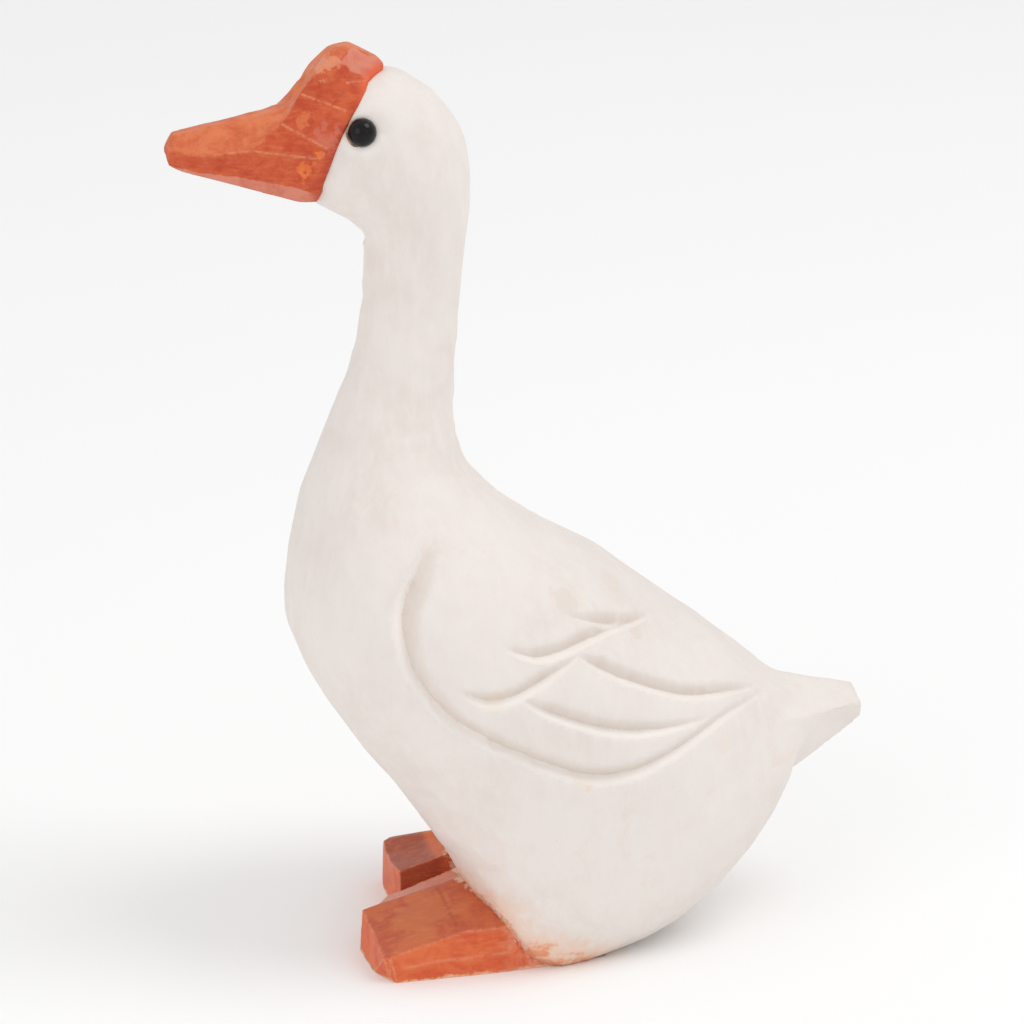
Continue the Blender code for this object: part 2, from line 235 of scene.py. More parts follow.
# %% Draw the sections and loft the body
SECTIONS = (
    ((-22.4, 84.2), (-17.4, 95.8), 5.4, 0.05, 2.4),
    ((-20.6, 82.4), (-13.7, 96.6), 6.2, 0.05, 2.4),
    ((-18.2, 81.0), (-10.6, 95.7), 6.8, 0.05, 2.35),
    ((-16.7, 79.9), (-7.4, 93.0), 7.0, 0.05, 2.25),
    ((-15.9, 78.2), (-5.1, 88.8), 6.9, 0.05, 2.2),
    ((-15.9, 75.6), (-4.6, 82.4), 6.4, 0.0, 2.15),
    ((-16.2, 71.0), (-5.3, 75.0), 6.0, 0.0, 2.15),
    ((-16.9, 66.8), (-6.0, 68.0), 6.0, 0.0, 2.15),
    ((-18.4, 62.0), (-6.2, 61.6), 6.5, 0.0, 2.15),
    ((-20.1, 57.6), (-5.9, 57.0), 7.8, 0.0, 2.15),
    ((-21.9, 52.8), (-4.2, 52.9), 10.0, 0.0, 2.15),
    ((-23.4, 47.6), (-0.9, 49.4), 12.6, -0.1, 2.15),
    ((-24.1, 42.4), (4.2, 45.6), 15.2, -0.15, 2.15),
    ((-24.4, 36.8), (9.6, 42.4), 17.0, -0.15, 2.15),
    ((-22.0, 30.4), (14.6, 38.6), 18.0, -0.15, 2.2),
    ((-18.0, 24.0), (19.0, 35.2), 18.3, -0.15, 2.25),
    ((-13.0, 17.2), (22.6, 32.5), 18.0, -0.2, 2.3),
    ((-8.1, 9.7), (25.4, 30.2), 17.5, -0.3, 2.35),
    ((-3.7, 2.3), (27.6, 28.5), 16.7, -0.35, 2.35),
    ((4.2, -2.3), (29.2, 27.2), 15.4, -0.35, 2.3),
    ((12.6, -1.2), (30.6, 26.4), 13.5, -0.25, 2.2),
    ((19.4, 2.8), (31.8, 26.0), 11.4, -0.15, 2.15),
    ((24.6, 8.0), (33.0, 25.6), 8.8, -0.1, 2.1),
    ((27.4, 13.8), (34.2, 25.2), 5.2, 0.0, 2.0),
)
STEPS_BETWEEN_SECTIONS = 8
POINTS_ROUND_A_SECTION = 144
SWELLINGS = (
    ((12.5, 0.0, 4.0), 6.0, (1.1, -0.9, -1.2)),
    ((11.8, 3.0, 2.0), 3.5, (0.4, 0.0, -1.3)),
)


def curve_through(rows, parts):
    """A smooth curve through rows of numbers, with so many parts from row to row."""
    rows = np.asarray(rows, dtype=float)
    padded = np.vstack([rows[:1], rows, rows[-1:]])
    out = []
    for i in range(len(rows) - 1):
        a, b, c, d = padded[i:i + 4]
        for t in np.arange(parts) / parts:
            out.append(0.5 * (2 * b + (c - a) * t + (2 * a - 5 * b + 4 * c - d) * t**2
                              + (3 * b - a - 3 * c + d) * t**3))
    out.append(rows[-1])
    return np.array(out)


def section_ring(low_y, low_z, high_y, high_z, half_width, widest, squareness):
    turn = 2 * pi * np.arange(POINTS_ROUND_A_SECTION) / POINTS_ROUND_A_SECTION
    up = np.sign(np.cos(turn)) * np.abs(np.cos(turn)) ** (2 / squareness)
    side = np.sign(np.sin(turn)) * np.abs(np.sin(turn)) ** (2 / squareness)
    share = (1 + widest + np.where(up > 0, 1 - widest, 1 + widest) * up) / 2
    return np.column_stack([
        half_width * side, low_y + (high_y - low_y) * share, low_z + (high_z - low_z) * share,
    ])


def swollen(points):
    """The body's points, moved out where they lie on a swelling."""
    side = np.where(points[:, :1] < 0, -1, 1) * (1, 0, 0) + (0, 1, 1)
    moved = points.copy()
    for middle, reach, swell in SWELLINGS:
        away = ((points * side - middle) ** 2).sum(axis=1, keepdims=True)
        moved += np.exp(-away / reach**2) * swell * side
    return moved


slices = curve_through([(*low, *high, *rest) for low, high, *rest in SECTIONS],
                       STEPS_BETWEEN_SECTIONS)
rings = [swollen(section_ring(*row)) for row in slices]
body_block = make_object("body_block", place(np.vstack(rings)),
                         loft_faces(len(rings), POINTS_ROUND_A_SECTION))
print("the body is", len(rings), "slices")

# %% [markdown]
# ## The tail
#
# The tail is a blunt wedge with a ridge on top and an edge along each side.
# Three rings of five corners are enough, because every face of it is one flat
# knife cut. It pushes into the rump, and the melt joins the two. Where they meet
# under the tail the carver rounded the join, so it is smoothed a little more.

# %% Make the tail wedge and melt it into the body
TAIL_RINGS = (
    ((21.0, 29.0), (11.4, 24.6), (7.0, 12.0), 0.0),
    ((31.0, 26.8), (7.4, 24.2), (4.4, 17.0), 0.3),
    ((38.2, 25.1), (3.3, 23.7), (2.0, 21.7), 0.7),
)
TAIL_CORNERS = 5
TAIL_JOIN = (5.5, 28.0, 19.0)
BODY_SQUARE = 0.45

tail_points = []
for (y, ridge_z), (edge_x, edge_z), (under_x, under_z), lag in TAIL_RINGS:
    half = [(edge_x, y + lag / 2, edge_z), (under_x, y + lag, under_z)]
    tail_points += [(0, y, ridge_z), *half, *[(-x, cy, z) for x, cy, z in reversed(half)]]
tail_block = make_object("tail_block", place(tail_points),
                         loft_faces(len(TAIL_RINGS), TAIL_CORNERS))
body = melt("goose_body", [body_block, tail_block], BODY_SQUARE, soften=4)


def round_over(skin, middle, reach, rounds):
    """Smooths a skin round one place of the drawing and its mirror."""
    points, _ = read_points(skin)
    outward = np.where(points[:, :1] < 0, -1, 1) * (1, 0, 0) + (0, 1, 1)
    away = np.linalg.norm(points * outward - place([middle]), axis=1) / MM
    smoother = np.column_stack([blend(skin, column, rounds) for column in points.T])
    write_points(skin, points + np.exp(-(away / reach) ** 2)[:, None] * (smoother - points))


round_over(body, TAIL_JOIN, reach=5.0, rounds=40)

# %% [markdown]
# ## Knife strokes
#
# A knife takes off thin flat chips. On a round form each chip leaves an oval
# flat, and where the form runs straight the flat gets long, so the strokes find
# their own direction. Here a flat plane is pressed up to a fifth of a millimetre
# into the skin at several hundred places, and every point near it that stands
# above the plane is moved down to it.

# %% Whittle the body
SHALLOWEST = 0.35
FADE = 2.5
SAME_SIDE = 0.6


def whittle(points, normals, count, deepest, reach, seed):
    """The points after count flat strokes, none wider than reach. A stroke fades
    towards its rim and only cuts what faces about the same way."""
    dice = np.random.default_rng(seed)
    cut = np.zeros(len(points))
    for i in dice.choice(len(points), count, replace=False):
        away = points - points[i]
        near = np.flatnonzero((np.abs(away) < reach * MM).all(axis=1))
        away = away[near]
        depth = dice.uniform(SHALLOWEST, 1.0) * deepest * MM
        stands = away @ normals[i] + depth
        alike = normals[near] @ normals[i]
        fade = np.clip(FADE * (1 - np.linalg.norm(away, axis=1) / (reach * MM)), 0, 1)
        stands = np.where(alike > SAME_SIDE, np.clip(stands, 0, 2 * depth) * fade, 0)
        cut[near] = np.maximum(cut[near], stands)
    return points - normals * cut[:, None]


points, normals = read_points(body)
points = whittle(points, normals, count=900, deepest=0.21, reach=7.0, seed=4)
write_points(body, points)
print("whittled", len(points), "points")

# %% [markdown]
# ## Wings and feathers
#
# The wing's edge and five feathers are cut as grooves. A stop cut goes in along
# the line, and a second cut from below meets it, so a groove has a wall on its
# upper side and a bevel on its lower side. The wall rounds over at its top, and
# the bevel is short and straight. The lines are drawn as seen from the side and
# cast on to both flanks. The skin is first divided more finely along them,
# because a groove is narrow. Then each point looks for its nearest place on a
# line and sinks by what the groove's section says there. It also remembers how
# far it is up the wall or along the bevel, for the paint.

# %% Draw the lines and cut them on both flanks
WING_EDGE = (
    (-9.8, 49.6), (-11.4, 48.3), (-13.2, 45.7), (-14.6, 43.0), (-14.9, 40.2), (-14.0, 35.9),
    (-11.7, 32.5), (-9.0, 29.9), (-3.7, 26.9), (0.1, 25.1), (3.8, 23.6), (6.8, 23.0),
    (10.4, 23.3), (14.6, 24.6), (19.8, 26.7), (24.5, 27.5), (27.4, 27.2),
)
FEATHERS = (
    ((2.3, 40.7), (5.4, 39.5), (8.1, 38.7), (10.6, 38.3)),
    ((-4.2, 38.2), (-0.9, 37.1), (2.2, 37.2), (6.3, 38.0), (9.9, 38.1), (13.4, 37.7)),
    ((3.7, 36.5), (7.8, 34.2), (12.6, 31.8), (16.6, 30.2), (21.0, 29.3), (25.4, 28.2)),
    ((-9.4, 34.2), (-6.5, 32.9), (-3.8, 33.0), (-1.2, 34.0), (1.5, 35.3), (4.2, 36.6)),
    ((-2.9, 33.0), (0.7, 31.0), (5.3, 29.0), (9.6, 27.8), (14.0, 27.4), (19.0, 27.4)),
)
LINE_STEPS = 7
SIDE_REACH = 60
ROUNDED_BOTTOM = 0.07
WALL_CURVE = 1.15
BEVEL_CURVE = 1.0
END_WIDTH = 0.35
BEVEL_PAINT_RISE = 2.4
BEVEL_PAINT_FALL = 0.3
FINE_BAND = 1.05
WING_CUT = {"depth": 1.1, "walls": (2.3, 1.3), "bevel": 0.95, "ends": (7, 24)}
FEATHER_CUT = {"depth": 0.85, "walls": (1.1, 1.1), "bevel": 0.85}
FEATHER_ENDS = ((6, 2), (4, 4), (3, 7), (3, 5), (4, 9))


def cast_lines(skin, drawn):
    """A drawn line, cast on to the left and the right flank of a skin."""
    tree = tree_over(skin)
    cast = []
    for side in (1, -1):
        spots = place([(side * SIDE_REACH, y, z) for y, z in curve_through(drawn, LINE_STEPS)])
        inwards = Vector((-side, 0, 0))
        cast.append((side, np.array([tree.ray_cast(Vector(p), inwards)[0] for p in spots])))
    return cast


def beside_line(points, normals, side, line, margin):
    """For the points near a line: which they are, how far off, if they lie below it,
    how far along it, and the line's whole length, all in millimetres."""
    near = np.flatnonzero(((points > line.min(axis=0) - margin * MM)
                           & (points < line.max(axis=0) + margin * MM)).all(axis=1))
    points, normals = points[near], normals[near]
    distance, at = np.full(len(near), np.inf), np.zeros(len(near))
    below = np.zeros(len(near), dtype=bool)
    travelled = 0
    for start, step in zip(line, np.diff(line, axis=0)):
        length = np.linalg.norm(step)
        away = points - start
        along = np.clip(away @ step / length**2, 0, 1)
        gap = away - along[:, None] * step
        off = np.linalg.norm(gap, axis=1)
        closer = off < distance
        distance[closer] = off[closer]
        at[closer] = travelled + along[closer] * length
        below[closer] = (side * (gap * np.cross(step, normals)).sum(axis=1) > 0)[closer]
        travelled += length
    return near, distance / MM, below, at / MM, travelled / MM


def divide_near_lines(skin, lines, margin):
    points, normals = read_points(skin)
    close = np.zeros(len(points), dtype=bool)
    for cast in lines:
        for side, line in cast:
            near, distance, *_ = beside_line(points, normals, side, line, margin)
            close[near[distance < margin]] = True
    shaper = bmesh.new()
    shaper.from_mesh(skin.data)
    shaper.verts.ensure_lookup_table()
    edges = [e for e in shaper.edges if close[e.verts[0].index] and close[e.verts[1].index]]
    bmesh.ops.subdivide_edges(shaper, edges=edges, cuts=2, use_grid_fill=True, smooth=1.0)
    shaper.to_mesh(skin.data)
    shaper.free()
    skin.data.shade_smooth()


def groove(points, normals, cast, depth, walls, bevel, ends):
    """One groove on both flanks: for every point its depth, and how near the foot of
    the wall and how near the middle of the bevel it is. The wall's width changes
    from the first of walls to the second over the line's first half, and the
    groove runs out over the two lengths in ends."""
    sunk, on_wall, on_bevel = np.zeros((3, len(points)))
    for side, line in cast:
        reach = walls[0] + bevel
        near, distance, below, at, whole = beside_line(points, normals, side, line, reach)
        taper = np.clip(np.minimum(at / ends[0], (whole - at) / ends[1]), 0, 1)
        wall = walls[0] + (walls[1] - walls[0]) * np.clip(2 * at / whole, 0, 1)
        width = np.where(below, bevel, wall) * (END_WIDTH + (1 - END_WIDTH) * taper)
        rounded = np.hypot(distance, ROUNDED_BOTTOM) - ROUNDED_BOTTOM
        share = np.clip(1 - rounded / width, 0, 1)
        sunk[near] = depth * MM * taper * share ** np.where(below, BEVEL_CURVE, WALL_CURVE)
        on_wall[near] = np.where(below, 0, taper * np.sqrt(share))
        middle = np.clip(BEVEL_PAINT_RISE * share, 0, 1) * (1 - share) ** BEVEL_PAINT_FALL
        on_bevel[near] = np.where(below, taper * middle, 0)
    return np.array([sunk, on_wall, on_bevel])


lines = [cast_lines(body, drawn) for drawn in (WING_EDGE, *FEATHERS)]
divide_near_lines(body, lines, FINE_BAND)
points, normals = read_points(body)
cuts = groove(points, normals, lines[0], **WING_CUT)
for cast, ends in zip(lines[1:], FEATHER_ENDS):
    cuts = np.maximum(cuts, groove(points, normals, cast, ends=ends, **FEATHER_CUT))
sunk, on_wall, on_bevel = cuts
points -= normals * sunk[:, None]
print("deepest groove", round(sunk.max() / MM, 2), "mm, on", len(body.data.polygons), "faces")

# %% [markdown]
# ## Sockets and the flat sole
#
# Each bead sits in a drilled hole with a shallow scoop round it. The scoop is a
# small bowl pressed into the skin, and a ring in its lower half is painted
# lighter, a painted highlight on the scoop's rim. Last, everything that hangs
# below the floor is flattened on to it, as a sanding board would do, so the
# goose stands still.

# %% Scoop the eyes and flatten the sole
EYE_PLACE = (-16.85, 91.4)
SCOOP_RADIUS = 3.2
SCOOP_DEPTH = 0.13
LIT_RING, LIT_WIDTH, LIT_BELOW = 2.1, 0.5, 0.3
SOCKET_RADIUS = 1.2
SOCKET_DEPTH = 0.3
SOCKET_RIM = 0.2

eye_y, eye_z = place([(0, *EYE_PLACE)])[0, 1:]
from_eye = np.hypot(points[:, 1] - eye_y, points[:, 2] - eye_z) / MM
scoop = SCOOP_DEPTH * np.clip(1 - (from_eye / SCOOP_RADIUS) ** 2, 0, 1)
socket = SOCKET_DEPTH * np.clip((SOCKET_RADIUS + SOCKET_RIM - from_eye) / (2 * SOCKET_RIM), 0, 1)
points -= normals * ((scoop + socket) * MM)[:, None]
# The ring below the eye is a painted highlight on the scoop's rim.
on_rim = np.exp(-((from_eye - LIT_RING) / LIT_WIDTH) ** 2)
mark(body, "scoop_rim_highlight", on_rim * (points[:, 2] < eye_z - LIT_BELOW * MM))
points[:, 2] = np.maximum(points[:, 2], 0)
write_points(body, points)
print("points on the sole:", int((points[:, 2] == 0).sum()))

# %% [markdown]
# ## The bill and its knob
#
# The bill is all flat facets, so it is drawn corner by corner: each corner has
# a name with its y, z and x, and each facet is a row of names. Only one half is
# drawn, and the other is its mirror. The rear corners stand a little proud of the
# head, where the carver stopped the knife. Sandpaper has rounded the knob, the
# saddle in front of it and the tip.

# %% Draw the bill and melt it into its own skin
BILL_CORNERS = {
    "tip_top": (-35.6, 90.8, 0.8),
    "tip_front": (-36.6, 89.3, 0.0),
    "tip_side": (-35.9, 89.2, 1.9),
    "tip_low": (-36.2, 87.6, 0.9),
    "ridge_middle": (-26.2, 92.6, 1.3),
    "ridge_dip": (-23.2, 93.6, 1.0),
    "ridge_rise": (-21.9, 94.9, 1.0),
    "knob_foot": (-21.3, 96.7, 1.2),
    "knob_front": (-19.1, 99.1, 1.2),
    "knob_top": (-17.0, 99.4, 1.3),
    "knob_back": (-14.2, 97.9, 1.3),
    "edge_top": (-13.5, 97.2, 0.9),
    "side_front": (-32.9, 88.9, 2.8),
    "side_middle": (-28.1, 89.6, 4.2),
    "side_back": (-21.3, 88.8, 5.9),
    "cheek_low": (-24.7, 92.1, 3.6),
    "cheek_back": (-20.5, 89.9, 6.0),
    "cheek_top": (-22.8, 94.9, 1.9),
    "brow_back": (-18.4, 93.6, 5.1),
    "knob_side": (-21.0, 97.0, 2.2),
    "knob_shoulder": (-18.5, 98.0, 2.6),
    "knob_flank": (-17.9, 96.1, 3.6),
    "edge_chip": (-15.5, 96.1, 3.0),
    "edge_step": (-15.9, 95.4, 4.1),
    "edge_brow": (-17.1, 94.0, 5.1),
    "edge_eye": (-18.6, 91.7, 5.8),
    "edge_mouth": (-20.2, 88.0, 5.8),
    "edge_jaw": (-21.0, 84.6, 4.5),
    "edge_chin": (-21.1, 83.6, 3.3),
    "edge_under": (-21.2, 82.7, 0.0),
    "jaw_front": (-33.4, 87.1, 2.2),
    "jaw_middle": (-29.2, 86.6, 3.3),
    "jaw_back": (-23.1, 85.5, 5.0),
    "under_front": (-34.6, 86.9, 1.3),
    "under_low": (-34.7, 86.8, 0.0),
    "under_back": (-23.2, 83.7, 3.4),
    "root": (-15.5, 89.5, 0.0),
}
BILL_TOP = ("tip_top ridge_middle ridge_dip ridge_rise knob_foot knob_front knob_top knob_back "
            "edge_top").split()
BILL_FACETS = """
tip_top tip_front tip_side
tip_front tip_low tip_side
tip_top tip_side side_front
tip_top side_front ridge_middle
side_front side_middle ridge_middle
side_middle cheek_low ridge_middle
cheek_low ridge_dip ridge_middle
cheek_low cheek_top ridge_dip
cheek_top ridge_rise ridge_dip
cheek_top knob_foot ridge_rise
cheek_top knob_side knob_foot
knob_side knob_front knob_foot
knob_side knob_shoulder knob_front
knob_shoulder knob_top knob_front
tip_side jaw_front side_front
side_front jaw_front jaw_middle side_middle
side_middle jaw_middle jaw_back side_back
side_middle side_back cheek_back
side_middle cheek_back cheek_low
cheek_low cheek_back brow_back
cheek_low brow_back cheek_top
cheek_top brow_back knob_flank
cheek_top knob_flank knob_side
knob_side knob_flank knob_shoulder
knob_shoulder knob_back knob_top
knob_shoulder edge_chip knob_back
knob_shoulder knob_flank edge_chip
knob_back edge_chip edge_top
knob_flank brow_back edge_brow
knob_flank edge_brow edge_step
knob_flank edge_step edge_chip
brow_back edge_eye edge_brow
brow_back cheek_back edge_eye
cheek_back side_back edge_mouth
cheek_back edge_mouth edge_eye
side_back jaw_back edge_mouth
jaw_back edge_jaw edge_mouth
tip_side tip_low jaw_front
tip_low under_front jaw_front
jaw_front under_front under_back
jaw_front under_back jaw_middle
jaw_middle under_back jaw_back
jaw_back under_back edge_jaw
edge_jaw under_back edge_chin
edge_chin under_back edge_under
tip_front under_low tip_low
tip_low under_low under_front
under_low under_back under_front
under_low edge_under under_back
edge_top edge_chip root
edge_chip edge_step root
edge_step edge_brow root
edge_brow edge_eye root
edge_eye edge_mouth root
edge_mouth edge_jaw root
edge_jaw edge_chin root
edge_chin edge_under root
""".strip().splitlines()
BILL_SQUARE = 0.17
BILL_ROUND_PLACES = (
    ((0.5, -19.5, 98.6), 2.6), ((0.5, -15.0, 98.2), 2.0), ((0.8, -23.0, 93.8), 2.8),
    ((1.9, -22.8, 94.9), 2.0), ((0.8, -36.0, 89.6), 1.2),
)


def bill_mesh():
    points, number = [], {}
    for name, (y, z, x) in BILL_CORNERS.items():
        for side in (1, -1):
            if side == -1 and x == 0:
                number[name, side] = number[name, 1]
                continue
            number[name, side] = len(points)
            points.append((side * x, y, z))
    faces = [tuple(number[name, side] for name in facet.split()[::side])
             for facet in BILL_FACETS for side in (1, -1)]
    top = [(number[name, 1], number[name, -1]) for name in BILL_TOP]
    faces += [(a, b, d, c) for (a, b), (c, d) in zip(top, top[1:])]
    faces += [(*top[0], number["tip_front", 1]), (*top[-1], number["root", 1])]
    return points, faces


bill_points, bill_faces = bill_mesh()
bill = melt("goose_bill", [make_object("bill_block", place(bill_points), bill_faces)],
            BILL_SQUARE, soften=8)
for middle, reach in BILL_ROUND_PLACES:
    round_over(bill, middle, reach, rounds=30)

# %% [markdown]
# ## The feet
#
# Both feet are blocks left standing under the belly, with a saw slot between
# them. The left foot steps a little ahead, and a narrow strip runs along the
# slot. Each foot is drawn as a row of corners round its outline: where the
# corner stands on the floor, and where its upper end is. The blocks reach a bit
# below the floor and are cut off level with it later.

# %% Make both foot blocks
LEFT_FOOT = (
    ((0.6, 6.5), (0.6, 6.5, 12.0)),
    ((0.6, -14.0), (0.6, -14.0, 4.2)),
    ((2.9, -15.6), (2.9, -15.6, 4.2)),
    ((4.8, -17.9), (4.4, -17.5, 4.4)),
    ((10.4, -17.5), (9.4, -17.1, 3.75)),
    ((13.3, -16.0), (14.2, -16.8, 3.0)),
    ((14.4, -15.4), (14.5, -16.2, 3.15)),
    ((14.0, -4.5), (13.5, -7.9, 5.0)),
    ((13.2, 3.2), (13.2, -3.9, 4.9)),
    ((11.9, 8.2), (10.5, 4.0, 5.5)),
)
RIGHT_FOOT = (
    ((3.4, 6.5), (3.4, 6.5, 11.0)),
    ((3.4, -11.8), (3.4, -12.0, 5.2)),
    ((5.0, -12.2), (5.0, -12.2, 4.95)),
    ((7.0, -12.4), (7.0, -12.3, 4.7)),
    ((11.0, -12.5), (11.0, -12.3, 4.5)),
    ((13.2, -12.2), (13.0, -12.1, 4.8)),
    ((14.2, -11.3), (14.2, -11.3, 4.7)),
    ((14.2, -4.5), (14.1, -6.4, 5.0)),
    ((13.2, 3.0), (13.1, -2.5, 5.0)),
    ((11.0, 8.5), (10.5, 4.0, 5.5)),
)
LEFT_STRIP_HEEL = (2.9, 6.5, 10.5)
RIGHT_STRIP_HEEL = (5.0, 6.5, 10.6)
SOLE_DEPTH = 0.5
FOOT_SQUARE = 0.2


def foot_mesh(side, corners, strip_heel):
    low = [(side * x, y, -SOLE_DEPTH) for (x, y), _ in corners]
    high = [(side * x, y, z) for _, (x, y, z) in corners]
    n = len(corners)
    walls = [(k, k + 1, n + k + 1) for k in range(n - 1)]
    walls += [(k, n + k + 1, n + k) for k in range(n - 1)]
    tops = [(n + k, n + k + 1, 2 * n) for k in range(n - 1)]
    heel = (n - 1, 0, n, 2 * n, 2 * n - 1)
    x, y, z = strip_heel
    return [*low, *high, (side * x, y, z)], [tuple(range(n)), *walls, *tops, heel]


left_points, left_faces = foot_mesh(1, LEFT_FOOT, LEFT_STRIP_HEEL)
right_points, right_faces = foot_mesh(-1, RIGHT_FOOT, RIGHT_STRIP_HEEL)
feet = melt("goose_feet", [
    make_object("left_foot_block", place(left_points), left_faces),
    make_object("right_foot_block", place(right_points), right_faces),
], FOOT_SQUARE, soften=3)

# %% [markdown]
# ## Worn edges
#
# Paint is thin where two knife cuts meet, and handling wears it first there. So
# each skin remembers how near each of its points is to a worn edge of the
# drawing, and the paint goes pale along it. On the bill only a few lines are
# worn. On the feet every edge that shows is, and the left foot also keeps two
# lines: a dark knife cut across its top and a pale stroke along its side.
#
# The bill's top is painted a lighter orange from the tip up to the knob, as
# painted light from above, and its sides deeper, as painted shade, over the
# orange's own varied tone. The knob's crown and the jaw are pink, a painted
# sheen for the white room reflected in the satin coat. The first facets in the
# list are the lit ones. Along the white of the head runs a darker band of painted
# shade on the ledge there, which turns bright beside the knob. Each point looks up
# its nearest facet and edge in the drawing to learn which of these it is, and then
# the tones are blended a little into each other, as a brush does.

# %% Whittle the orange parts and mark their edges and tones
WORN_LINES = ("side_front side_middle side_back", "cheek_low cheek_back", "cheek_top brow_back",
              "knob_flank edge_chip")
BANDS = {
    # A darker band of painted shade on the ledge along the white of the head.
    "rear_shade_band": ("edge_eye edge_mouth edge_jaw edge_chin", 0.8),
    "knob_band": ("edge_top edge_chip edge_step", 0.75),
}
# The first facets of the list are painted lighter, as painted light on the bill's top.
TOP_FACETS = 14
DEEP_TOP_FACET = "tip_front tip_low tip_side"
# Areas of the bill that carry a pink painted sheen, a painted reflection of the white room.
SHEEN_AREAS = (
    "knob_shoulder knob_back knob_top edge_chip edge_top",
    "tip_low jaw_front jaw_middle jaw_back under_front under_back edge_jaw edge_chin",
)
SHEEN_FACETS = {facet for facet in BILL_FACETS for area in SHEEN_AREAS
               if set(facet.split()) <= set(area.split())}
EDGE_ANGLE = 14
FOOT_LINES = {
    "knife_line": ((4.3, -9.2, 6.4), (8.6, -8.9, 5.9), (12.3, -8.6, 5.2)),
    "side_line": ((14.3, -14.8, 1.6), (13.9, -10.7, 2.0), (13.8, -7.9, 2.0), (13.4, -2.0, 2.1)),
}
LINE_WIDTH = 0.16


def bill_lines(*chains):
    """The edges along rows of corners, on both sides of the bill."""
    lines = []
    for chain in chains:
        for side in (1, -1):
            spots = [(side * x, y, z) for y, z, x in map(BILL_CORNERS.get, chain.split())]
            lines += zip(place(spots), place(spots[1:]))
    return lines


def mark_tones(skin, points, faces):
    tree = BVHTree.FromPolygons([tuple(p) for p in place(points)], faces)
    lit_top, painted_sheen = [], []
    for spot in read_points(skin)[0]:
        facet = tree.find_nearest(Vector(spot))[2] // 2
        named = BILL_FACETS[facet] if facet < len(BILL_FACETS) else None
        lit_top.append((facet < TOP_FACETS or named is None) and named != DEEP_TOP_FACET)
        painted_sheen.append(named in SHEEN_FACETS)
    mark(skin, "lit_top_tone", blend(skin, np.array(lit_top, dtype=float), rounds=24))
    mark(skin, "sheen_tone", blend(skin, np.array(painted_sheen, dtype=float), rounds=6))


def sharp_edges(points, faces):
    """The drawing's edges where two faces meet at an angle, as pairs of places. The
    last point is the strip's heel, inside the body, and its edges are left out."""
    shaper = bmesh.new()
    corners = [shaper.verts.new(Vector(p)) for p in place(points)]
    for face in faces:
        shaper.faces.new([corners[i] for i in face])
    bmesh.ops.recalc_face_normals(shaper, faces=shaper.faces)
    found = [[list(v.co) for v in edge.verts] for edge in shaper.edges
             if edge.calc_face_angle(0) > radians(EDGE_ANGLE) and corners[-1] not in edge.verts]
    shaper.free()
    return np.array(found)


def nearness(points, edges, width):
    """1 on an edge, falling to 0 a few widths away from it."""
    closest = np.full(len(points), np.inf)
    for start, end in edges:
        step = end - start
        along = np.clip((points - start) @ step / (step @ step), 0, 1)
        away = points - start - along[:, None] * step
        closest = np.minimum(closest, np.linalg.norm(away, axis=1))
    return np.exp(-(closest / (width * MM)) ** 2)


def finish_block(skin, edges, width, strokes, seed):
    points, normals = read_points(skin)
    mark(skin, "worn_edge", nearness(points, edges, width))
    points = whittle(points, normals, strokes, deepest=0.07, reach=3.0, seed=seed)
    points[:, 2] = np.maximum(points[:, 2], 0)
    write_points(skin, points)


mark_tones(bill, bill_points, bill_faces)
for name, (corners, width) in BANDS.items():
    mark(bill, name, nearness(read_points(bill)[0], bill_lines(corners), width))
finish_block(bill, bill_lines(*WORN_LINES), width=0.12, strokes=160, seed=7)
feet_edges = np.vstack([sharp_edges(left_points, left_faces),
                        sharp_edges(right_points, right_faces)])
finish_block(feet, feet_edges, width=0.15, strokes=200, seed=8)
for name, corners in FOOT_LINES.items():
    line = place(corners)
    mark(feet, name, nearness(read_points(feet)[0], zip(line, line[1:]), LINE_WIDTH))
print("worn edges on the feet:", len(feet_edges))

# %% [markdown]
# ## Where the orange runs on to the belly
#
# The feet were painted last, and the brush dragged a thin orange wash a few
# millimetres up the belly. The body's skin keeps its distance from the feet for
# its own paint to read, with the walls and bevels of the grooves. The feet keep
# their distance from the body, because the white laps over on to them.

# %% Mark the wash and the grooves on the body
WASH_REACH = 8 * MM
LAP_REACH = 2 * MM
BELLY_HEIGHT = 30 * MM


def closeness(points, skin, reach):
    """1 for points on a skin, falling to 0 at reach. Only the low points are asked."""
    tree = tree_over(skin)
    off = [tree.find_nearest(Vector(p), WASH_REACH)[3] if p[2] < BELLY_HEIGHT else None
           for p in points]
    return 1 - np.clip(np.array([d or WASH_REACH for d in off]) / reach, 0, 1)


by_feet = closeness(read_points(body)[0], feet, WASH_REACH)
mark(body, "wash", by_feet)
mark(body, "wall", on_wall)
mark(body, "bevel", on_bevel)
mark(feet, "lap", closeness(read_points(feet)[0], body, LAP_REACH))
print("points near the feet:", int((by_feet > 0.5).sum()))

# %% [markdown]
# ## Bead eyes
#
# The eyes are round glass-like beads. A bead is a plain ball, so the CAD ball is
# replaced by a finer one of the same size in the same place. A thin line of
# brown glue shows round it, a little thicker below and in front.

# %% Make the beads and their glue
GLUE_RADIUS = 1.5
GLUE_DEPTH = 0.05
GLUE_THIN, GLUE_THICK, GLUE_SWELL, GLUE_UNEVEN = 0.02, 0.06, 0.11, 0.015
THICKEST_AT = radians(225)
AROUND, ACROSS = 72, 10


def bead(name, node):
    low, high = (Vector(corner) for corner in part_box(node))
    shaper = bmesh.new()
    bmesh.ops.create_icosphere(shaper, subdivisions=5, radius=(high.z - low.z) / 2)
    mesh = bpy.data.meshes.new(name)
    shaper.to_mesh(mesh)
    shaper.free()
    mesh.shade_smooth()
    ball = add(name, mesh)
    ball.location = (low + high) / 2
    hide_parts(node)
    return ball


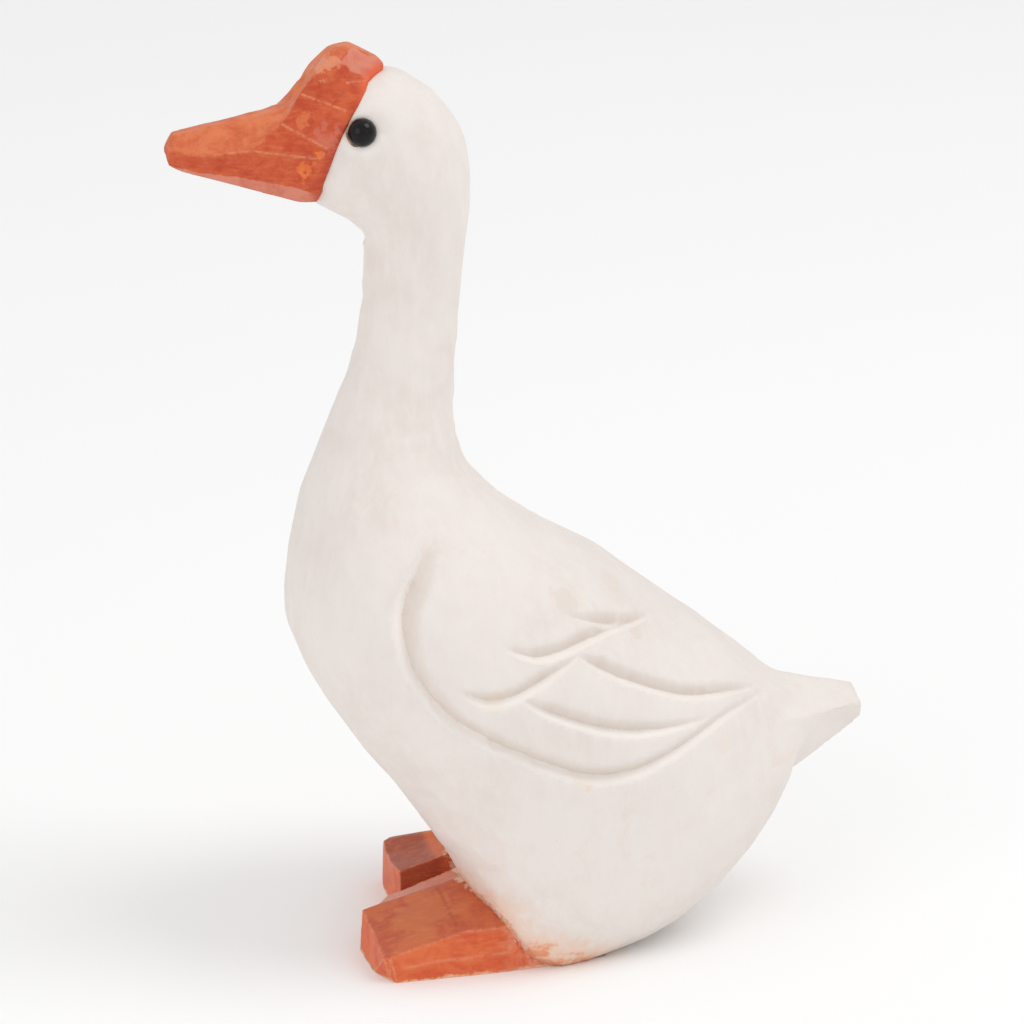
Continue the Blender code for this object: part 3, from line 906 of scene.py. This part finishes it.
def glue_ring(name, ball, side):
    """A thin uneven ring round the bead where it meets the socket."""
    points = []
    for i in range(AROUND):
        turn = 2 * pi * i / AROUND
        swell = GLUE_SWELL * cos(turn - THICKEST_AT) + GLUE_UNEVEN * sin(5 * turn)
        thick = max(GLUE_THIN, GLUE_THICK + swell)
        for k in range(ACROSS):
            lean = 2 * pi * k / ACROSS
            out = GLUE_RADIUS + thick * cos(lean)
            x = side * (GLUE_DEPTH + thick * sin(lean))
            points.append((x, out * cos(turn), out * sin(turn)))
    faces = []
    for i in range(AROUND):
        for k in range(ACROSS):
            here, after, beside = i * ACROSS, (i + 1) % AROUND * ACROSS, (k + 1) % ACROSS
            faces.append((here + k, here + beside, after + beside, after + k))
    ring = make_object(name, np.array(points) * MM, faces)
    ring.data.shade_smooth()
    ring.location = ball.location
    return ring


left_bead, right_bead = bead("left_bead", "left_eye"), bead("right_bead", "right_eye")
left_glue = glue_ring("left_glue", left_bead, 1)
right_glue = glue_ring("right_glue", right_bead, -1)
print("bead across, mm:", round(left_bead.dimensions.x / MM, 2))

# %% [markdown]
# ## Paint, as layers of noise
#
# Brushed paint is never one colour. A soft large pattern moves its tone, long
# thin streaks follow the brush, and small specks break it. All of them are drawn
# in millimetres from the object's own place, so they keep their real size on
# every piece. A patch lies round one place, where the photograph shows one.

# %% Helpers that lay down a paint
def new_paint(name):
    """A new material with its node tree and its shader."""
    material = bpy.data.materials.new(name)
    material.use_nodes = True
    return material, material.node_tree, material.node_tree.nodes["Principled BSDF"]


def connect(source, target):
    """Joins one socket to another, or sets it to a number or a colour."""
    if isinstance(source, bpy.types.NodeSocket):
        source.id_data.links.new(source, target)
    else:
        target.default_value = (*source, 1) if isinstance(source, tuple) else source


def node_for(kind, *values):
    """A new node in the tree of the socket that is among the values."""
    tree = next(v.id_data for v in values if isinstance(v, bpy.types.NodeSocket))
    return tree.nodes.new(kind)


def spot_in_mm(tree, stretch=(1, 1, 1)):
    """The place on the object in millimetres, stretched along each axis."""
    scale = tree.nodes.new("ShaderNodeVectorMath")
    scale.operation = "MULTIPLY"
    scale.inputs[1].default_value = [v / MM for v in stretch]
    connect(tree.nodes.new("ShaderNodeTexCoord").outputs["Object"], scale.inputs[0])
    return scale.outputs[0]


def noise(spot, scale, detail=4, roughness=0.6, distortion=0.0):
    node = node_for("ShaderNodeTexNoise", spot)
    for name, value in (("Vector", spot), ("Scale", scale), ("Detail", detail),
                        ("Roughness", roughness), ("Distortion", distortion)):
        connect(value, node.inputs[name])
    return node.outputs["Fac"]


def steps(value, low, high, to_low=0.0, to_high=1.0):
    """Stretches the part of a pattern from low to high over a new range."""
    node = node_for("ShaderNodeMapRange", value)
    node.interpolation_type = "SMOOTHSTEP"
    for name, number in (("Value", value), ("From Min", low), ("From Max", high),
                         ("To Min", to_low), ("To Max", to_high)):
        connect(number, node.inputs[name])
    return node.outputs["Result"]


def maths(kind, a, b):
    node = node_for("ShaderNodeMath", a, b)
    node.operation = kind
    connect(a, node.inputs[0])
    connect(b, node.inputs[1])
    return node.outputs[0]


def times(a, b):
    return maths("MULTIPLY", a, b)


def plus(a, b):
    return maths("ADD", a, b)


def over(share, under, top):
    """Lays one colour over another."""
    node = node_for("ShaderNodeMix", share, under, top)
    node.data_type = "RGBA"
    for socket, value in ((0, share), (6, under), (7, top)):
        connect(value, node.inputs[socket])
    return node.outputs[2]


def kept(tree, name):
    """A number that a skin keeps at its points."""
    node = tree.nodes.new("ShaderNodeAttribute")
    node.attribute_name = name
    return node.outputs["Fac"]


def relief(shader, height, distance, strength):
    node = node_for("ShaderNodeBump", height)
    node.inputs["Distance"].default_value = distance * MM
    node.inputs["Strength"].default_value = strength
    connect(height, node.inputs["Height"])
    connect(node.outputs["Normal"], shader.inputs["Normal"])


def parts_of(vector):
    """The x, the y and the z of a place or a direction."""
    node = node_for("ShaderNodeSeparateXYZ", vector)
    connect(vector, node.inputs[0])
    return [node.outputs[axis] for axis in "XYZ"]


def facing(tree):
    """How far the surface faces along each axis, from -1 to 1."""
    return parts_of(tree.nodes.new("ShaderNodeNewGeometry").outputs["Normal"])


def patch_at(spot, centre, reach, dabs, ragged=0.4):
    """A brushed patch round one place of the drawing, with a ragged rim."""
    x, y, z = centre
    away = node_for("ShaderNodeVectorMath", spot)
    away.operation = "DISTANCE"
    away.inputs[1].default_value = (x, y + SHIFT_Y / MM, z)
    connect(spot, away.inputs[0])
    share = maths("SUBTRACT", 1, maths("DIVIDE", away.outputs["Value"], reach))
    return steps(plus(share, steps(dabs, 0.3, 0.7, -ragged, ragged)), 0.28, 0.56)


# %% [markdown]
# ## The off-white of the body
#
# The white is a thin matt coat over bare wood, so it is warm and a little pink
# where it is thin, in patches. The walls of the grooves are painted a darker,
# warmer white as painted shade, and the bevels a lighter white as a painted
# highlight. Dark specks are dust and pores. Near the feet the orange wash comes
# through in broken patches. Each line below lays one more colour over the ones
# before it.

# %% Mix the white
WHITE = (0.825, 0.765, 0.718)
DEEPER_WHITE = (0.775, 0.703, 0.655)
BRUSHED_WHITE = (0.85, 0.805, 0.755)
# Painted shade for the groove walls and a painted highlight for the bevels.
WALL_SHADE_WHITE = (0.70, 0.605, 0.535)
BEVEL_HIGHLIGHT_WHITE = (0.93, 0.885, 0.84)
# A painted highlight for the lower rim of each eye's scoop.
SCOOP_RIM_HIGHLIGHT = (0.93, 0.88, 0.83)
WARM = (0.80, 0.665, 0.585)
DUST = (0.40, 0.34, 0.31)
WASH = (0.85, 0.56, 0.39)
STRONG_WASH = (0.78, 0.26, 0.10)
CREASE_RED = (0.50, 0.09, 0.03)
BODY_DABS = (
    ((12.7, 3.3, 41.7), 2.6, (0.74, 0.645, 0.565)),
    ((7.1, 9.3, 41.3), 2.4, (0.79, 0.68, 0.605)),
    ((17.5, -5.4, 32.6), 1.6, (0.80, 0.66, 0.52)),
    ((17.3, 3.4, 22.7), 1.0, (0.84, 0.66, 0.50)),
    ((17.2, 5.0, 22.4), 1.2, (0.84, 0.66, 0.50)),
    ((11.5, 11.1, 37.3), 1.4, (0.76, 0.65, 0.57)),
)

white_paint, tree, shader = new_paint("off_white_paint")
spot = spot_in_mm(tree)
brushed = spot_in_mm(tree, stretch=(1.0, 0.9, 0.25))
patches = noise(spot, 0.09, detail=5)
streaks = noise(brushed, 0.9, detail=6, roughness=0.7)
warm = noise(spot, 0.22, detail=6, roughness=0.7, distortion=0.8)
specks = noise(spot, 3.1, detail=2)
ragged = noise(spot, 0.55, detail=7, roughness=0.75, distortion=0.6)
chips = noise(spot, 1.5, detail=4, roughness=0.75)
grain = noise(brushed, 2.6, detail=5, roughness=0.65)

colour = over(steps(patches, 0.35, 0.68), WHITE, DEEPER_WHITE)
colour = over(steps(streaks, 0.42, 0.7, 0, 0.5), colour, BRUSHED_WHITE)
colour = over(steps(warm, 0.56, 0.72, 0, 0.35), colour, WARM)
for centre, reach, dab in BODY_DABS:
    colour = over(times(patch_at(spot, centre, reach, streaks), 0.55), colour, dab)
# The walls of the grooves are darkened as painted shade, and the bevels lightened as a painted
# highlight.
wall_shade = times(kept(tree, "wall"), steps(streaks, 0.3, 0.7, 0.85, 0.6))
colour = over(wall_shade, colour, WALL_SHADE_WHITE)
colour = over(times(kept(tree, "bevel"), 0.8), colour, BEVEL_HIGHLIGHT_WHITE)
colour = over(steps(specks, 0.735, 0.77, 0, 0.4), colour, DUST)

# The wash is ragged, reaches further at the heel and less behind it.
_, along, height = parts_of(spot)
reach = plus(kept(tree, "wash"), steps(ragged, 0.2, 0.8, -0.26, 0.26))
reach = plus(reach, times(steps(along, -4, 0, 0, 0.2), steps(height, 3, 6, 1, 0)))
reach = maths("SUBTRACT", reach, steps(along, 2, 7, 0, 0.3))
colour = over(steps(reach, 0.40, 1.0, 0, 0.7), colour, WASH)
colour = over(steps(reach, 0.86, 1.12, 0, 0.85), colour, STRONG_WASH)
at_crease = steps(kept(tree, "wash"), 0.86, 0.96)
colour = over(times(at_crease, steps(chips, 0.58, 0.64, 0, 0.8)), colour, CREASE_RED)
# A painted highlight on the lower rim of each eye's scoop.
colour = over(times(kept(tree, "scoop_rim_highlight"), 0.6), colour, SCOOP_RIM_HIGHLIGHT)
connect(colour, shader.inputs["Base Color"])
connect(steps(streaks, 0.3, 0.75, 0.5, 0.68), shader.inputs["Roughness"])

lumps = times(at_crease, steps(chips, 0.40, 0.62, 0, 5))
relief(shader, plus(times(streaks, 1.5), plus(grain, lumps)), 0.06, 0.55)

# %% [markdown]
# ## The satin orange
#
# The orange is a stain under a thin satin coat. One recipe gives the brush
# marks, the worn edges and the specks. The bill and the feet each bring their
# own tones to it: on the bill, lit tops and shaded sides painted as light and
# shade, a pink painted sheen and a band of painted shade; on the feet a brown
# top, bright sides, a pink painted sheen on the strip, a far foot in painted
# shade and a rear that fades into the white of the belly.

# %% Mix the orange
BRUSH_ORANGE = (0.80, 0.25, 0.09)
WORN_ORANGE = (0.84, 0.40, 0.22)
SPECK = (0.30, 0.06, 0.02)
SPECULAR = 0.22


def satin_orange(name, base_of, sheen):
    """The orange, with base_of giving the tone below its brush marks and wear."""
    material, tree, shader = new_paint(name)
    spot = spot_in_mm(tree)
    brush = noise(spot_in_mm(tree, stretch=(1.0, 0.35, 1.6)), 1.6, detail=6, roughness=0.75)
    broken = noise(spot, 1.4, detail=5, roughness=0.7)
    specks = noise(spot, 3.4, detail=2)
    haze = noise(spot, 0.3, detail=3)

    colour = over(steps(brush, 0.44, 0.70, 0, 0.34), base_of(tree, spot), BRUSH_ORANGE)
    worn = times(kept(tree, "worn_edge"), steps(broken, 0.38, 0.6, 0.1, 0.55))
    colour = over(worn, colour, WORN_ORANGE)
    colour = over(steps(specks, 0.70, 0.76, 0, 0.4), colour, SPECK)
    connect(colour, shader.inputs["Base Color"])
    connect(steps(haze, 0.35, 0.7, *sheen), shader.inputs["Roughness"])
    shader.inputs["Specular IOR Level"].default_value = SPECULAR
    relief(shader, plus(brush, broken), 0.05, 0.45)
    return material


# Deep sides and light tops: painted shade and painted light over the orange's own varied tone.
BILL_SHADED_SIDES = ((0.51, 0.064, 0.024), (0.62, 0.11, 0.04))
BILL_LIT_TOP = ((0.62, 0.13, 0.05), (0.71, 0.20, 0.085))
# A pink painted sheen, for the white room reflected in the satin coat.
BILL_PAINTED_SHEEN = (0.69, 0.255, 0.18)
# Painted shade for the band along the head.
BILL_REAR_SHADE = (0.48, 0.055, 0.025)
KNOB_BAND = (0.76, 0.11, 0.03)
BILL_DABS = (
    ((5.8, -22.6, 87.7), 1.4, (0.78, 0.17, 0.045)),
    ((5.7, -22.8, 87.0), 1.1, (0.80, 0.19, 0.045)),
    ((6.2, -21.5, 89.6), 1.1, (0.84, 0.20, 0.04)),
    ((6.0, -20.6, 91.0), 2.2, (0.60, 0.15, 0.10)),
    ((4.6, -22.6, 92.6), 1.4, (0.70, 0.17, 0.06)),
    # This last dab is a pink painted reflection on the front of the knob.
    ((1.9, -20.4, 98.0), 2.4, (0.76, 0.30, 0.18)),
)


def bill_tones(tree, spot):
    cloud = noise(spot, 0.5, detail=6, roughness=0.65, distortion=0.5)
    ragged = steps(noise(spot, 0.8, detail=5), 0.3, 0.7, -0.3, 0.3)
    dabs = noise(spot, 1.1, detail=4, roughness=0.6)
    # Lit tops and shaded sides: painted light and painted shade.
    shaded_side = over(steps(cloud, 0.36, 0.66), *BILL_SHADED_SIDES)
    lit_top = over(steps(cloud, 0.36, 0.62), *BILL_LIT_TOP)
    colour = over(steps(plus(kept(tree, "lit_top_tone"), ragged), 0.2, 0.8), shaded_side, lit_top)
    # The pink is a painted sheen.
    painted_sheen = steps(plus(kept(tree, "sheen_tone"), ragged), 0.3, 0.75)
    colour = over(times(painted_sheen, steps(cloud, 0.30, 0.6, 0.45, 0.85)), colour, BILL_PAINTED_SHEEN)
    # The rear band is painted shade.
    colour = over(times(kept(tree, "rear_shade_band"), 0.9), colour, BILL_REAR_SHADE)
    colour = over(times(kept(tree, "knob_band"), 0.85), colour, KNOB_BAND)
    for centre, reach, dab in BILL_DABS:
        colour = over(times(patch_at(spot, centre, reach, dabs), 0.75), colour, dab)
    return colour


STRIP_EDGE = 2.9
FADE_START = -5.5
FADE_END = 6.0
FOOT_TOP = ((0.53, 0.105, 0.052), (0.62, 0.15, 0.06))
FOOT_SIDE = ((0.64, 0.095, 0.035), (0.73, 0.155, 0.055))
# The far foot's top and inner wall are painted darker as shade.
FAR_TOP_SHADE = ((0.38, 0.085, 0.045), (0.66, 0.155, 0.05))
FAR_WALL_SHADE = (0.30, 0.065, 0.04)
VARNISH = (0.62, 0.175, 0.07)
SWEPT = (0.76, 0.22, 0.085)
# The strip's pink is a painted sheen.
STRIP_SHEEN = (0.70, 0.33, 0.25)
BARE_WOOD = (0.82, 0.55, 0.36)
CUT_BROWN = (0.36, 0.06, 0.03)
PALE_STROKE = (0.82, 0.40, 0.24)
CREASE_BROWN = (0.42, 0.075, 0.035)
FADED = (0.82, 0.62, 0.50)
LAPPED_WHITE = (0.80, 0.62, 0.50)


def feet_tones(tree, spot):
    """Brown varnish on top, bright sides, a pink painted sheen on the strip along the
    slot, bare wood at the floor, a far foot darkened as painted shade, and white
    that laps over the edge by the belly."""
    across, along, height = parts_of(spot)
    side_on, _, up_on = facing(tree)
    cloud = noise(spot, 0.32, detail=6, roughness=0.6, distortion=0.5)
    ragged = noise(spot, 0.55, detail=7, roughness=0.75, distortion=0.6)
    swept = noise(spot_in_mm(tree, stretch=(1.0, 0.3, 1.8)), 1.2, detail=7, roughness=0.8)

    varnish = patch_at(spot, (8.6, -11.4, 5.0), 6.0, cloud, ragged=0.24)
    top = over(times(varnish, 0.85), over(steps(cloud, 0.40, 0.62), *FOOT_TOP), VARNISH)
    side = over(steps(cloud, 0.38, 0.64), *FOOT_SIDE)
    side = over(steps(swept, 0.45, 0.68, 0, 0.5), side, SWEPT)
    colour = over(steps(up_on, 0.35, 0.75), side, top)

    # The strip along the slot carries a pink painted sheen.
    on_strip = steps(across, STRIP_EDGE - 0.1, STRIP_EDGE + 0.1, 1, 0)
    on_strip = times(on_strip, steps(across, 0, 0.3))
    on_strip = times(on_strip, steps(up_on, 0.4, 0.8))
    colour = over(times(on_strip, steps(ragged, 0.3, 0.6, 0.4, 0.8)), colour, STRIP_SHEEN)
    bare = plus(height, steps(ragged, 0.25, 0.75, -0.3, 0.3))
    colour = over(steps(bare, 0.0, 0.35, 0.8, 0), colour, BARE_WOOD)
    colour = over(times(kept(tree, "knife_line"), 0.6), colour, CUT_BROWN)
    pale = times(kept(tree, "side_line"), steps(ragged, 0.35, 0.6, 0, 0.5))
    colour = over(pale, colour, PALE_STROKE)

    # The far foot's inner wall and top are darkened as painted shade.
    far = steps(across, -1, 0, 1, 0)
    far_wall_shade = times(times(far, steps(side_on, 0.4, 0.8)), steps(along, -7.5, -9.0, 0.15, 0.7))
    colour = over(far_wall_shade, colour, FAR_WALL_SHADE)
    far_shade_tones = over(steps(along, -9.5, -8.5), *FAR_TOP_SHADE)
    colour = over(times(far, steps(up_on, 0.5, 0.8)), colour, far_shade_tones)

    behind = plus(along, steps(ragged, 0.2, 0.8, -3.5, 3.5))
    fade = times(steps(behind, FADE_START, FADE_END, 0, 0.9), steps(height, 3.5, 6.5, 1, 0))
    colour = over(times(fade, steps(across, 6.0, 9.0)), colour, FADED)
    lap = kept(tree, "lap")
    crease = times(steps(lap, 0.78, 0.93), steps(ragged, 0.5, 0.4))
    colour = over(times(crease, 0.6), colour, CREASE_BROWN)
    lapped = plus(plus(lap, steps(ragged, 0.3, 0.7, -0.4, 0.4)), steps(across, 8.0, 3.0, 0, 0.28))
    return over(steps(lapped, 1.0, 1.16, 0, 0.8), colour, LAPPED_WHITE)


bill_orange = satin_orange("satin_orange_bill", bill_tones, (0.42, 0.55))
feet_orange = satin_orange("satin_orange_feet", feet_tones, (0.38, 0.52))

# %% [markdown]
# ## Beads and glue
#
# The beads are black and polished, so they need almost no colour: what shows is
# the room's light in them. The glue is a dull brown.

# %% Mix the bead black and the glue brown
bead_black, tree, shader = new_paint("black_bead")
dust = noise(spot_in_mm(tree), 2.4, detail=5, roughness=0.7)
colour = over(steps(dust, 0.5, 0.75, 0, 0.5), (0.006, 0.005, 0.006), (0.02, 0.017, 0.018))
connect(colour, shader.inputs["Base Color"])
connect(steps(dust, 0.4, 0.75, 0.12, 0.26), shader.inputs["Roughness"])
shader.inputs["Specular IOR Level"].default_value = SPECULAR

glue_brown, tree, shader = new_paint("glue_brown")
smear = noise(spot_in_mm(tree), 1.7, detail=4)
colour = over(steps(smear, 0.35, 0.65), (0.12, 0.06, 0.03), (0.42, 0.26, 0.14))
connect(colour, shader.inputs["Base Color"])
connect(steps(smear, 0.3, 0.7, 0.35, 0.6), shader.inputs["Roughness"])

# %% [markdown]
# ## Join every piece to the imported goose
#
# Each piece takes its paint and rides on the model's one body. The skins stand
# for the carved goose, and the fine beads for its plain ones.

# %% Paint, ride and replace
pieces = (
    (body, white_paint, "painted_wood"), (bill, bill_orange, "painted_wood"),
    (feet, feet_orange, "painted_wood"), (left_bead, bead_black, "eye_bead"),
    (right_bead, bead_black, "eye_bead"), (left_glue, glue_brown, "painted_wood"),
    (right_glue, glue_brown, "painted_wood"),
)
for piece, paint, slot in pieces:
    piece.data.materials.clear()
    piece.data.materials.append(paint)
    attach(piece, "root")
for skin in (body, bill, feet):
    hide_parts("carved_goose")
print("pieces:", [piece.name for piece, *_ in pieces])

# %% [markdown]
# ## Floor and light
#
# The photograph is soft and bright. A big light above and behind the goose gives
# the bevels their bright edges, and a weaker one stands in front. A pale floor
# and a white room fill the shadows.

# %% Lay the floor and hang the lights
FLOOR_HALF = 3.0
FLOOR_CORNERS = ((-1, -1), (1, -1), (1, 1), (-1, 1))
FLOOR_ROUGHNESS = 0.9
ROOM_STRENGTH = 0.78
LIT_SPOT = Vector((0, 0, 0.04))
LIGHTS = (
    ("top_light", (0.15, 0.40, 0.72), 0.45, 1.65),
    ("front_light", (0.55, -0.65, 0.45), 0.7, 1.1),
)

floor = make_object("floor", [(x * FLOOR_HALF, y * FLOOR_HALF, 0) for x, y in FLOOR_CORNERS],
                    [(0, 1, 2, 3)])
floor_white, tree, shader = new_paint("floor_white")
colour = over(noise(spot_in_mm(tree), 0.01), (0.97, 0.97, 0.97), (0.98, 0.98, 0.98))
connect(colour, shader.inputs["Base Color"])
shader.inputs["Roughness"].default_value = FLOOR_ROUGHNESS
floor.data.materials.append(floor_white)

for name, where, size, power in LIGHTS:
    lamp = bpy.data.lights.new(name, "AREA")
    lamp.shape = "DISK"
    lamp.size = size
    lamp.energy = power
    holder = add(name, lamp)
    holder.location = where
    holder.rotation_euler = (LIT_SPOT - holder.location).to_track_quat("-Z", "Y").to_euler()
room = bpy.data.worlds.new("white_room")
room.use_nodes = True
background = room.node_tree.nodes["Background"]
background.inputs["Color"].default_value = (1, 1, 1, 1)
background.inputs["Strength"].default_value = ROOM_STRENGTH
bpy.context.scene.world = room
bpy.context.scene.view_settings.view_transform = "Standard"
print("floor and lights are in place")
